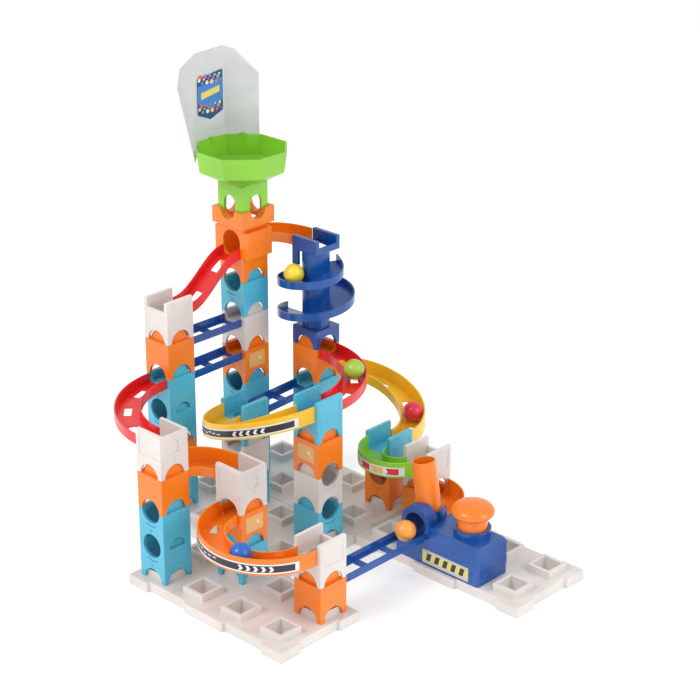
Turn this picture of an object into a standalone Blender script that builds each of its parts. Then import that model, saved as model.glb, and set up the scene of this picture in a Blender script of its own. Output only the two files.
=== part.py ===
"""Marble run: block towers on puzzle base tiles, snap-on tracks, hopper, corkscrew and push-button launcher.

Units are metres, +Z up.  Towers stand on a square grid of cells: +X runs along the launcher,
+Y runs back along the long tracks.  Lengths in the tables below are written in millimetres.
"""
import math

import bmesh
import bpy
from mathutils import Matrix, Vector

MM = 0.001
PITCH = 70.0            # grid cell
LEVEL = 50.0            # stacking height of one block
BLOCK = 46.0            # outside width of a block
WALL = 4.0
GAP = 0.3               # between stacked pieces
HALF = BLOCK / 2
INNER = HALF - WALL
MOUTH = 16.0            # half opening at the top of a block
HOLE_R = 16.5           # ball holes and foot arches
TONGUE_R = 15.5
TONGUE_OUT = 18.5
FLOOR_DROP = 12.0       # exit floor below the top of its block
FLOOR_T = 3.0

TILE_T = 14.0           # base tile thickness
SOCKET = 37.4
SOCKET_H = 10.0
SOCKET_HOLE = 27.0
TILE_GAP = 0.3
TAB_DEPTH = 5.0

TRACK_W = 35.0
TRACK_IN = 31.0
TRACK_FLOOR = 2.0
RAIL = 12.0
TALL_RAIL = 20.0
BEND_RAIL = 24.0
LOW_RAIL, LOW_SLOT = 9.0, 21.0      # the straight blue bridges
TRACK_GAP = 0.5

RECEIVER_H = 60.0
RECEIVER_FLOOR = 34.0
CHANNEL = 34.0
LIP = 46.0
TALL_LIP = 58.5

BALL_R = 14.0
BALL_LIFT = 0.6
ARC_SEGMENTS = 6

SHIFT = Vector((-91.0, -210.0, TILE_T))     # puts the middle of the base at the origin

COLOURS = {
    "white": (0.86, 0.84, 0.81), "orange": (0.89, 0.27, 0.02), "sky": (0.10, 0.48, 0.66),
    "blue": (0.012, 0.07, 0.27), "red": (0.78, 0.015, 0.015), "yellow": (0.92, 0.55, 0.02),
    "green": (0.24, 0.60, 0.03), "clear": (0.66, 0.70, 0.70), "ball_green": (0.35, 0.55, 0.05),
}


PARTS, CUTTERS = "marble_run", "cutters"
ORIGINS = {}            # turning or sliding pieces: a point on the joint's axis


def material(name):
    found = bpy.data.materials.get(name)
    if found:
        return found
    made = bpy.data.materials.new(name)
    made.use_nodes = True
    shader = made.node_tree.nodes["Principled BSDF"]
    shader.inputs["Base Color"].default_value = (*COLOURS[name], 1.0)
    shader.inputs["Roughness"].default_value = 0.35
    made.diffuse_color = (*COLOURS[name], 1.0)
    return made


def collection(name):
    found = bpy.data.collections.get(name)
    if not found:
        found = bpy.data.collections.new(name)
        bpy.context.scene.collection.children.link(found)
    return found


def finish(work, name, colour=None):
    """Turns a bmesh into an object: a part with its colour, or a cutter with none."""
    bmesh.ops.recalc_face_normals(work, faces=work.faces)
    if work.calc_volume(signed=True) < 0:
        bmesh.ops.reverse_faces(work, faces=work.faces)
    mesh = bpy.data.meshes.new(name)
    work.to_mesh(mesh)
    work.free()
    thing = bpy.data.objects.new(name, mesh)
    collection(PARTS if colour else CUTTERS).objects.link(thing)
    if colour:
        mesh.materials.append(material(colour))
    else:
        thing.hide_render = True
        thing.display_type = "WIRE"
    return thing


def loft(name, loops, colour=None, closed=False):
    """Skins loops of equal length; capped at both ends unless the last joins the first."""
    work = bmesh.new()
    rows = [[work.verts.new(Vector(p)) for p in loop] for loop in loops]
    pairs = list(zip(rows, rows[1:])) + ([(rows[-1], rows[0])] if closed else [])
    for low, high in pairs:
        for k in range(len(low)):
            n = (k + 1) % len(low)
            work.faces.new((low[k], low[n], high[n], high[k]))
    if not closed:
        work.faces.new(rows[0][::-1])
        work.faces.new(rows[-1])
    return finish(work, name, colour)


def prism(name, outline, depth, colour=None):
    """A flat outline extruded along a vector."""
    work = bmesh.new()
    face = work.faces.new([work.verts.new(Vector(p)) for p in outline])
    grown = bmesh.ops.extrude_face_region(work, geom=[face], use_keep_orig=True)["geom"]
    bmesh.ops.translate(work, vec=Vector(depth), verts=[v for v in grown if isinstance(v, bmesh.types.BMVert)])
    return finish(work, name, colour)


def box(low, high, colour=None, name="cut"):
    low, high = Vector(low), Vector(high)
    size = high - low
    work = bmesh.new()
    place = Matrix.Translation((low + high) / 2) @ Matrix.Diagonal((*size, 1.0))
    bmesh.ops.create_cube(work, size=1.0, matrix=place)
    return finish(work, name, colour)


def square(x, y, half, z0, z1, colour=None, name="cut"):
    return box((x - half, y - half, z0), (x + half, y + half, z1), colour, name)


def rod(start, end, radius, segments=12, end_radius=None, colour=None, name="cut"):
    """A round bar between two points, with a flat side rather than an edge along its top."""
    start, end = Vector(start), Vector(end)
    axis = end - start
    turn = Matrix.Rotation(math.pi / segments, 4, "Z")
    place = Matrix.Translation((start + end) / 2) @ axis.to_track_quat("Z", "Y").to_matrix().to_4x4() @ turn
    work = bmesh.new()
    bmesh.ops.create_cone(work, cap_ends=True, segments=segments, radius1=radius, radius2=end_radius or radius,
                          depth=axis.length, matrix=place)
    return finish(work, name, colour)


def lathe(x, y, profile, segments, colour, name):
    """Turns a (radius, height) profile, given from the top down, about a vertical axis."""
    mesh = bpy.data.meshes.new(name)
    points = [(r, 0, z) for r, z in profile]
    mesh.from_pydata(points, [(k, k + 1) for k in range(len(points) - 1)], [])
    thing = bpy.data.objects.new(name, mesh)
    collection(PARTS).objects.link(thing)
    turn = thing.modifiers.new("turn", "SCREW")
    turn.steps = turn.render_steps = segments
    turn.use_merge_vertices = True
    turn.merge_threshold = 0.0001
    apply_modifiers(thing)
    thing.data.transform(Matrix.Translation((x, y, 0)))
    thing.data.materials.append(material(colour))
    return thing


def apply_modifiers(thing):
    graph = bpy.context.evaluated_depsgraph_get()
    graph.update()
    result = bpy.data.meshes.new_from_object(thing.evaluated_get(graph))
    thing.modifiers.clear()
    thing.data = result
    return result


def combine(thing, tool, operation="DIFFERENCE"):
    """Applies one exact boolean and removes the tool."""
    step = thing.modifiers.new("step", "BOOLEAN")
    step.operation = operation
    step.solver = "EXACT"
    step.object = tool
    colours = list(thing.data.materials)
    result = apply_modifiers(thing)
    result.materials.clear()
    for colour in colours:
        result.materials.append(colour)
    for face in result.polygons:
        face.material_index = 0
    bpy.data.objects.remove(tool)
    return thing


SIDES = {"-y": Vector((0, -1, 0)), "+y": Vector((0, 1, 0)), "+x": Vector((1, 0, 0)), "-x": Vector((-1, 0, 0))}


def drill(thing, centre, side, radius=HOLE_R, inside=8.0, segments=12):
    """A round hole from near the middle of a tower out through one side."""
    centre = Vector(centre)
    out = SIDES[side]
    combine(thing, rod(centre + out * inside, centre + out * (HALF + 12), radius, segments))


def foot_arches(thing, x, y, z):
    """Half-round openings in all four sides at the foot of a piece."""
    for along in (Vector((1, 0, 0)), Vector((0, 1, 0))):
        centre = Vector((x, y, z))
        combine(thing, rod(centre - along * (HALF + 9), centre + along * (HALF + 9), HOLE_R))


def tongue(thing, x, y, top, side):
    """Domed upstand that locates the next piece and closes its arch."""
    out = SIDES[side]
    across = Vector((-out.y, out.x, 0))
    outline = [(-TONGUE_R, -2.0), (TONGUE_R, -2.0)]
    for k in range(ARC_SEGMENTS + 1):
        a = math.pi * k / ARC_SEGMENTS
        outline.append((TONGUE_R * math.cos(a), TONGUE_R * math.sin(a)))
    centre = Vector((x, y, top))
    plate = [centre + out * (MOUTH - 0.01) + across * u + Vector((0, 0, v)) for u, v in outline]
    combine(thing, prism("cut", plate, out * (TONGUE_OUT - MOUTH + 0.01)), "UNION")


def block(name, cell, base, colour, tall=1, top=None, middle=(), floor=False):
    """One tower block.  top maps a side to 'hole' or 'tongue'; middle lists holes one level down."""
    x, y = cell[0] * PITCH, cell[1] * PITCH
    z0, z1 = base * LEVEL + GAP, (base + tall) * LEVEL
    thing = square(x, y, HALF, z0, z1, colour, name)
    combine(thing, square(x, y, INNER, z0 - 5, z1 - 6))
    combine(thing, square(x, y, MOUTH, z1 - 7, z1 + 5))
    foot_arches(thing, x, y, z0 - GAP)
    for level in range(1, tall):
        for side in middle:
            drill(thing, (x, y, (base + level) * LEVEL), side)
    for side, kind in (top or {}).items():
        if kind == "hole":
            drill(thing, (x, y, z1), side)
        else:
            tongue(thing, x, y, z1, side)
    if floor:
        top_of_floor = z1 - FLOOR_DROP
        combine(thing, square(x, y, HALF - 1, top_of_floor - FLOOR_T, top_of_floor), "UNION")
    return thing


def receiver(name, cell, base, colour, along, closed=None, drop=True, lip=LIP):
    """Catch piece on top of a tower: open channel between two cheeks."""
    x, y = cell[0] * PITCH, cell[1] * PITCH
    z0 = base * LEVEL
    thing = square(x, y, HALF, z0 + GAP, z0 + RECEIVER_H, colour, name)
    combine(thing, square(x, y, INNER, z0 - 5, z0 + 20))
    foot_arches(thing, x, y, z0)
    reach = {"x": Vector((HALF + 5, CHANNEL / 2, 0)), "y": Vector((CHANNEL / 2, HALF + 5, 0))}[along]
    low, high = Vector((x, y, z0 + RECEIVER_FLOOR)) - reach, Vector((x, y, z0 + RECEIVER_H + 5)) + reach
    if closed:
        axis = 0 if along == "x" else 1
        stop = (x, y)[axis] + SIDES[closed][axis] * (HALF - WALL)
        if SIDES[closed][axis] > 0:
            high[axis] = stop
        else:
            low[axis] = stop
    combine(thing, box(low, high))
    if closed:
        out = SIDES[closed]
        across = Vector((abs(out.y), abs(out.x), 0)) * (CHANNEL / 2)
        inner, outer = Vector((x, y, 0)) + out * (INNER - 2), Vector((x, y, 0)) + out * (HALF + 5)
        corners = [inner - across, inner + across, outer - across, outer + across]
        xs, ys = [c.x for c in corners], [c.y for c in corners]
        combine(thing, box((min(xs), min(ys), z0 + lip), (max(xs), max(ys), z0 + RECEIVER_H + 5)))
    if drop:
        combine(thing, rod((x, y, z0 + 10), (x, y, z0 + RECEIVER_FLOOR + 5), 15.5, 12))
    return thing


def section(inner_rail, outer_rail):
    """Track section, (sideways, up) from the rolling surface; sideways is away from the curve's centre."""
    w, n, t = TRACK_W / 2, TRACK_IN / 2, TRACK_FLOOR
    return [(-w, -t), (w, -t), (w, outer_rail), (n, outer_rail), (n, 0), (-n, 0), (-n, inner_rail), (-w, inner_rail)]


def sweep(name, stations, shape, colour):
    """Stations are (point, outward direction) pairs."""
    loops = [[point + out * u + Vector((0, 0, v)) for u, v in shape] for point, out in stations]
    return loft(name, loops, colour)


def ease(t):
    return 0.5 - 0.5 * math.cos(math.pi * t)


def arc_track(name, centre, radius, first, last, z0, z1, colour, segments, outer=RAIL, slots=()):
    """Track on a circular plan; it leaves and arrives level."""
    cx, cy = centre
    sign = 1 if last > first else -1
    a0 = math.radians(first) + sign * TRACK_GAP / radius
    a1 = math.radians(last) - sign * TRACK_GAP / radius
    stations = []
    for k in range(segments + 1):
        t = k / segments
        a = a0 + (a1 - a0) * t
        out = Vector((math.cos(a), math.sin(a), 0))
        stations.append((Vector((cx, cy, z0 + (z1 - z0) * ease(t))) + out * radius, out))
    thing = sweep(name, stations, section(RAIL, outer), colour)
    for at, length, offset in slots:
        a = a0 + (a1 - a0) * at
        out = Vector((math.cos(a), math.sin(a), 0))
        along = Vector((-out.y, out.x, 0))
        mid = Vector((cx, cy, z0 + (z1 - z0) * ease(at))) + out * (radius + offset)
        slot(thing, mid, along, out, length)
    return thing


def slot(thing, mid, along, out, length, width=10.0):
    """An open window in a track floor."""
    a, b = along * (length / 2), out * (width / 2)
    low = [mid + corner + Vector((0, 0, -9)) for corner in (-a - b, a - b, a + b, b - a)]
    combine(thing, prism("cut", low, (0, 0, 14)))


def straight_track(name, start, end, colour, segments=1, slots=(), rail=RAIL, slot_width=15.0):
    """Track between two points given at the rolling surface, along Y."""
    start, end = Vector(start), Vector(end)
    direction = 1 if end.y > start.y else -1
    start.y += direction * TRACK_GAP
    end.y -= direction * TRACK_GAP
    stations = []
    for k in range(segments + 1):
        t = k / segments
        point = start.lerp(end, t)
        point.z = start.z + (end.z - start.z) * (ease(t) if segments > 1 else t)
        stations.append((point, Vector((1, 0, 0))))
    thing = sweep(name, stations, section(rail, rail), colour)
    for at, length in slots:
        mid = start.lerp(end, at)
        mid.z = start.z + (end.z - start.z) * (ease(at) if segments > 1 else at)
        slot(thing, mid, Vector((0, 1, 0)), Vector((1, 0, 0)), length, slot_width)
    return thing


def tile(name, first, columns, rows):
    """Base tile with a raised, pierced socket in every cell and tabbed edges."""
    x0, y0 = (first[0] - 0.5) * PITCH + TILE_GAP, (first[1] - 0.5) * PITCH + TILE_GAP
    x1 = (first[0] + columns - 0.5) * PITCH - TILE_GAP
    y1 = (first[1] + rows - 0.5) * PITCH - TILE_GAP
    thing = box((x0, y0, -TILE_T), (x1, y1, 0), "white", name)
    for k in range(columns // 2):
        mid = (first[0] + 0.5 + 2 * k) * PITCH
        for y, sign in ((y0, 1), (y1, -1)):
            combine(thing, box((mid - PITCH / 2, min(y - 5 * sign, y + TAB_DEPTH * sign), -TILE_T - 1),
                               (mid + PITCH / 2, max(y - 5 * sign, y + TAB_DEPTH * sign), 1)))
    for k in range(rows // 2):
        mid = (first[1] + 0.5 + 2 * k) * PITCH
        for x, sign in ((x0, 1), (x1, -1)):
            combine(thing, box((min(x - 5 * sign, x + TAB_DEPTH * sign), mid - PITCH / 2, -TILE_T - 1),
                               (max(x - 5 * sign, x + TAB_DEPTH * sign), mid + PITCH / 2, 1)))
    for i in range(columns):
        for j in range(rows):
            x, y = (first[0] + i) * PITCH, (first[1] + j) * PITCH
            combine(thing, square(x, y, SOCKET / 2, -1, SOCKET_H), "UNION")
            combine(thing, square(x, y, SOCKET_HOLE / 2, -TILE_T - 1, SOCKET_H + 1))
    return thing


def base_tiles():
    tile("tile_front", (0, 0), 4, 2)
    tile("tile_middle", (-2, 2), 4, 2)
    tile("tile_back", (-2, 4), 4, 2)
    tile("tile_right", (2, 4), 4, 2)


def towers():
    t, h = "tongue", "hole"
    block("tower_a_tall", (0, 0), 0, "sky", 2, {"-y": h, "+x": t}, ("-y",))
    block("tower_a_exit", (0, 0), 2, "orange", 1, {"-y": t, "+x": t, "+y": h}, floor=True)
    receiver("catch_a", (0, 0), 3, "white", "x", "+x", lip=TALL_LIP)
    block("tower_e_low", (1, 1), 0, "sky", 1, {"-y": t, "+x": t})
    block("tower_e_exit", (1, 1), 1, "orange", 1, {"-y": h, "+x": t}, floor=True)
    receiver("catch_e", (1, 1), 2, "white", "x", "+x", lip=TALL_LIP)
    block("tower_f_exit", (3, 1), 0, "orange", 1, {"-y": t, "+x": t, "+y": h}, floor=True)
    receiver("catch_f", (3, 1), 1, "white", "y", "+y")
    block("tower_b_low", (-2, 2), 0, "sky", 1, {"-y": t, "+x": t})
    block("tower_b_second", (-2, 2), 1, "orange", 1, {"-y": t, "+x": t})
    block("tower_b_tall", (-2, 2), 2, "sky", 2, {"-y": h, "+x": t, "+y": h}, ("-y",), floor=True)
    block("tower_b_exit", (-2, 2), 4, "orange", 1, {"-y": t, "+x": t, "+y": h}, floor=True)
    receiver("catch_b", (-2, 2), 5, "white", "y", "-y")
    block("tower_c_low", (-1, 3), 0, "sky", 1, {"-y": t, "+x": t})
    block("tower_c_exit", (-1, 3), 1, "white", 1, {"-y": h, "+x": t}, floor=True)
    receiver("catch_c", (-1, 3), 2, "sky", "y")
    block("tower_d_low", (1, 3), 0, "sky", 1, {"-y": t, "+x": h})
    block("tower_d_second", (1, 3), 1, "white", 1, {"-y": t, "+x": h})
    block("tower_d_third", (1, 3), 2, "orange", 1, {"-y": t, "+x": t})
    receiver("catch_d", (1, 3), 3, "sky", "y", drop=False)
    block("hopper_tower_low", (-2, 4), 0, "sky", 3, {"-y": h, "+x": t})
    block("hopper_tower_orange", (-2, 4), 3, "orange", 1, {"-y": h, "+x": t}, floor=True)
    block("hopper_tower_white", (-2, 4), 4, "white", 1, {"-y": h, "+x": t}, floor=True)
    block("hopper_tower_blue", (-2, 4), 5, "sky", 1, {"-y": h, "+x": t})
    block("spiral_tower_low", (-1, 5), 0, "sky", 3, {"-y": h, "+y": h, "+x": t}, floor=True)
    block("spiral_tower_exit", (-1, 5), 3, "orange", 1, {"-y": t, "+x": h}, floor=True)
    block("tower_g_low", (1, 5), 0, "orange", 1, {"-y": h, "+x": t})
    receiver("catch_g", (1, 5), 1, "sky", "y", drop=False)
    block("tower_h_exit", (2, 5), 0, "orange", 1, {"-y": t, "+x": h}, floor=True)
    receiver("catch_h", (2, 5), 1, "white", "y", "+y")


def tracks():
    """Every track leaves a hole one floor-drop below its level and lands just above a channel floor."""
    def leave(level):
        return level * LEVEL - FLOOR_DROP

    def land(base):
        return base * LEVEL + RECEIVER_FLOOR + 0.5

    long_r, short_r = 2 * PITCH - HALF, PITCH - HALF
    quarter_slots = ((0.2, 24, 0), (0.5, 24, 0), (0.8, 24, 0))
    straight_track("slide_red", (-140, 257, SPLIT_OUT), (-140, 163, land(5)), "red", 8, ((0.25, 20), (0.72, 20)))
    arc_track("curve_red_front", (-23, 117), long_r, 180, 270, leave(4), land(3), "red", 9, slots=quarter_slots)
    arc_track("curve_red_back", (-47, 233), long_r, 90, 0, leave(4), land(3), "red", 9, slots=quarter_slots)
    arc_track("bend_orange_top", (-93, 303), short_r, 180, 90, SPLIT_SIDE_OUT, HEAD_FLOOR + 0.5, "orange", 6, 15.0)
    arc_track("bend_orange_front", (47, 23), short_r, 180, 90, leave(3), land(2), "orange", 6, BEND_RAIL)
    arc_track("bend_orange_right", (163, 303), short_r, 90, 0, leave(1), leave(1) - 0.5, "orange", 6, BEND_RAIL)
    u_slots = ((0.14, 20, 0), (0.38, 20, 0), (0.62, 20, 0), (0.86, 20, 0))
    arc_track("turn_orange", (140, 47), PITCH, 180, 360, leave(2), land(1), "orange", 12, TALL_RAIL, u_slots)
    arc_track("turn_yellow_front", (0, 187), PITCH, 0, -180, land(3), land(2), "yellow", 12, TALL_RAIL, u_slots)
    arc_track("turn_yellow_back", (0, 373), PITCH, 180, 0, leave(3), land(1), "yellow", 12, TALL_RAIL, u_slots)
    arc_track("turn_green", (105, 327), PITCH / 2, 180, 360, land(1), land(1), "green", 10, TALL_RAIL)
    bridge_slots = ((0.26, 32), (0.74, 32))
    straight_track("bridge_upper", (-140, 163, leave(5)), (-140, 257, leave(5) - 1), "blue", 1, bridge_slots, LOW_RAIL, LOW_SLOT)
    straight_track("bridge_lower", (-140, 257, leave(4)), (-140, 163, leave(4) - 1), "blue", 1, bridge_slots, LOW_RAIL, LOW_SLOT)
    straight_track("bridge_middle", (-70, 327, leave(3)), (-70, 233, land(2)), "blue", 1, bridge_slots, LOW_RAIL, LOW_SLOT)
    straight_track("bridge_launcher", (210, 93, leave(1)), (210, HOOD_Y, leave(1) - 0.5), "blue", 1,
                   ((0.18, 38), (0.5, 38), (0.82, 38)), LOW_RAIL, LOW_SLOT)


SPIRAL_CELL = (-1, 5)
SPIRAL_OUT, SPIRAL_RIM = 54.0, 11.0
SPIRAL_TOP, SPIRAL_PITCH = 323.0, 46.5
SPIRAL_START = 133.0                        # bearing where the chute would be at its top height
SPIRAL_FROM, SPIRAL_TO = 63.0, 670.0        # degrees turned at the two ends of the chute
SPIRAL_NARROW, SPIRAL_WIDENS = 33.0, 110.0  # outer radius at its start, degrees taken to widen
COLUMN_R = 19.3
HEAD_FLOOR, HEAD_TOP = 343.5, 359.5


def corkscrew():
    """Spiral chute around a column, with its own catch channel on top and a block foot."""
    x, y = SPIRAL_CELL[0] * PITCH, SPIRAL_CELL[1] * PITCH
    name = "corkscrew"
    thing = square(x, y, HALF, 200 + GAP, 227, "blue", name)
    combine(thing, square(x, y, INNER, 195, 218))
    foot_arches(thing, x, y, 200)
    combine(thing, rod((x, y, 222), (x, y, HEAD_FLOOR - 2), COLUMN_R, 20), "UNION")
    loops = []
    count = 36
    for k in range(count + 1):
        turned = SPIRAL_FROM + (SPIRAL_TO - SPIRAL_FROM) * k / count
        widened = ease(min(1.0, (turned - SPIRAL_FROM) / SPIRAL_WIDENS))
        outside = SPIRAL_NARROW + (SPIRAL_OUT - SPIRAL_NARROW) * widened
        shape = [(COLUMN_R - 2, 0), (outside, 0), (outside, SPIRAL_RIM), (outside - 2, SPIRAL_RIM),
                 (outside - 2, 2), (COLUMN_R - 2, 2)]
        a = math.radians(SPIRAL_START - turned)
        out = Vector((math.cos(a), math.sin(a), 0))
        centre = Vector((x, y, SPIRAL_TOP - SPIRAL_PITCH * turned / 360))
        loops.append([centre + out * u + Vector((0, 0, v)) for u, v in shape])
    combine(thing, loft("cut", loops), "UNION")
    head = square(x, y, HALF, HEAD_FLOOR - 4, HEAD_TOP)
    combine(head, box((x - HALF - 5, y - CHANNEL / 2, HEAD_FLOOR), (x + INNER + 1, y + CHANNEL / 2, HEAD_TOP + 5)))
    combine(head, box((x + INNER - 2, y - CHANNEL / 2, HEAD_FLOOR + 5), (x + HALF + 5, y + CHANNEL / 2, HEAD_TOP + 5)))
    combine(thing, head, "UNION")
    combine(thing, box((x - HALF, y - HALF, 318), (x - 12, y - INNER, HEAD_FLOOR)), "UNION")
    combine(thing, box((x - HALF, y - HALF, 318), (x - INNER, y - 12, HEAD_FLOOR)), "UNION")
    reach = BALL_R + BALL_LIFT
    combine(thing, box((x - reach, y - 10, 326), (x + reach, y + HALF + 9, HEAD_FLOOR - 4.5)))
    combine(thing, box((x - reach, y - 10, 330), (x + reach, y + INNER, HEAD_FLOOR + 2)))


SPLIT_Z = 300.0
SPLIT_OUT, SPLIT_SIDE_OUT = 336.0, 348.0     # rolling heights of the slide and of the bend
COLLAR = 30.0
STEM_HALF = 25.0


def splitter():
    """Two-level piece under the hopper that sends balls out of two opposite sides."""
    x, y = -2 * PITCH, 4 * PITCH
    thing = square(x, y, HALF, SPLIT_Z + GAP, 390, "orange", "splitter")
    combine(thing, box((x - COLLAR - 2, y - HALF, 336), (x + COLLAR + 2, y + HALF, 374)), "UNION")
    combine(thing, square(x, y, COLLAR, 380, 403), "UNION")
    combine(thing, square(x, y, INNER, SPLIT_Z - 5, SPLIT_OUT - 6))
    combine(thing, square(x, y, INNER, SPLIT_OUT - 3, 410))
    combine(thing, square(x, y, STEM_HALF + 0.4, 400, 410))
    foot_arches(thing, x, y, SPLIT_Z)
    for side, low in (("-y", SPLIT_OUT), ("+y", SPLIT_SIDE_OUT)):
        for z in (low + BALL_R, low + BALL_R + 6):
            drill(thing, (x, y, z), side)
    for along in (Vector((1, 0, 0)), Vector((0, 1, 0))):
        centre = Vector((x, y, 403))
        combine(thing, rod(centre - along * 40, centre + along * 40, 13.5, 16))
    return thing


BOWL_R = 60.5           # across-flats radius
BOWL_WALL = 2.5
BOWL_TAPER = 4.0
STEM_Z, STEM_TOP, BOWL_Z, RIM_Z = 400.3, 438.0, 456.0, 485.0


def octagon(x, y, flat, z):
    radius = flat / math.cos(math.radians(22.5))
    return [(x + radius * math.cos(math.radians(22.5 + 45 * k)), y + radius * math.sin(math.radians(22.5 + 45 * k)), z)
            for k in range(8)]


def cut_square(x, y, half, z, chamfer=2.5):
    c = half - chamfer
    plan = [(half, c), (c, half), (-c, half), (-half, c), (-half, -c), (-c, -half), (c, -half), (half, -c)]
    return [(x + u, y + v, z) for u, v in plan]


def hopper():
    """Eight-sided bowl on a square stem."""
    x, y = -2 * PITCH, 4 * PITCH
    inside = STEM_HALF - WALL
    loops = [cut_square(x, y, STEM_HALF, STEM_Z), cut_square(x, y, STEM_HALF, STEM_TOP),
             octagon(x, y, BOWL_R - BOWL_TAPER, BOWL_Z), octagon(x, y, BOWL_R, RIM_Z),
             octagon(x, y, BOWL_R - BOWL_WALL, RIM_Z), octagon(x, y, BOWL_R - BOWL_WALL - BOWL_TAPER, BOWL_Z + 1),
             cut_square(x, y, inside, STEM_TOP + 1), cut_square(x, y, inside, STEM_Z)]
    thing = loft("hopper", loops, "green", closed=True)
    for low, high in (((x - HALF - 9, y - 11, 395), (x + HALF + 9, y + 11, 412)),
                      ((x - 11, y - HALF - 9, 395), (x + 11, y + HALF + 9, 412))):
        combine(thing, box(low, high))
    for along in (Vector((1, 0, 0)), Vector((0, 1, 0))):
        centre = Vector((x, y, 412))
        combine(thing, rod(centre - along * 40, centre + along * 40, 11, 16))


BOARD_T = 1.6
BOARD_FLAT = BOWL_R + 0.6


def backboard():
    """Folded clear screen on three sides of the bowl; its front panel leans outwards."""
    x, y = -2 * PITCH, 4 * PITCH
    lean = Vector((-1, -1, 0)).normalized()

    def corner(angle, thick):
        radius = (BOARD_FLAT + thick) / math.cos(math.radians(22.5))
        return Vector((x + radius * math.cos(math.radians(angle)), y + radius * math.sin(math.radians(angle)), 0))

    def column(thick, index):
        if index == 0:
            spot = corner(247.5, thick) + (corner(202.5, thick) - corner(247.5, thick)) * 0.06
            return [(spot, 470.0), (spot + lean * 21, 572.0), (spot + lean * 17, 598.0)]
        if index == 1:
            return [(corner(202.5, thick), z) for z in (470.0, 580.0, 606.0)]
        if index == 2:
            return [(corner(157.5, thick), z) for z in (470.0, 580.0, 609.0)]
        to = corner(112.5, thick) - corner(157.5, thick)
        if index == 3:
            return [(corner(157.5, thick) + to * 0.30, z) for z in (470.0, 580.0, 604.0)]
        return [(corner(157.5, thick) + to * 0.94, z) for z in (470.0, 563.0, 570.0)]

    work = bmesh.new()
    front = [[work.verts.new(spot + Vector((0, 0, z))) for spot, z in column(0.0, c)] for c in range(5)]
    back = [[work.verts.new(spot + Vector((0, 0, z))) for spot, z in column(BOARD_T, c)] for c in range(5)]
    for skin in (front, back):
        for near, far in zip(skin, skin[1:]):
            for r in range(len(near) - 1):
                work.faces.new((near[r], near[r + 1], far[r + 1], far[r]))
    rim = [(c, 0) for c in range(5)] + [(4, 1), (4, 2)] + [(c, 2) for c in (3, 2, 1, 0)] + [(0, 1)]
    for (c0, r0), (c1, r1) in zip(rim, rim[1:] + rim[:1]):
        work.faces.new((front[c0][r0], front[c1][r1], back[c1][r1], back[c0][r0]))
    finish(work, "backboard", "clear")


LAUNCH_X0, LAUNCH_XN, LAUNCH_X1 = 176.0, 228.0, 316.0
LAUNCH_Y0, LAUNCH_Y1, LAUNCH_YN = 250.0, 310.0, 302.0
LAUNCH_Z0, LAUNCH_Z1 = 0.3, 57.0
LAUNCH_Y = 280.0
HOOD_Y = 248.0
INLET_Z = 54.0
BARREL_X, BARREL_PIVOT_Z = 209.0, 46.0
BARREL_TILT = math.radians(10.0)
BUTTON_X = 280.0


def barrel_axis(z_from_pivot):
    """Point on the barrel's centre line, measured along the barrel from its pivot."""
    lean = Vector((-math.sin(BARREL_TILT), 0, math.cos(BARREL_TILT)))
    return Vector((BARREL_X, LAUNCH_Y, BARREL_PIVOT_Z)) + lean * z_from_pivot


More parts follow.
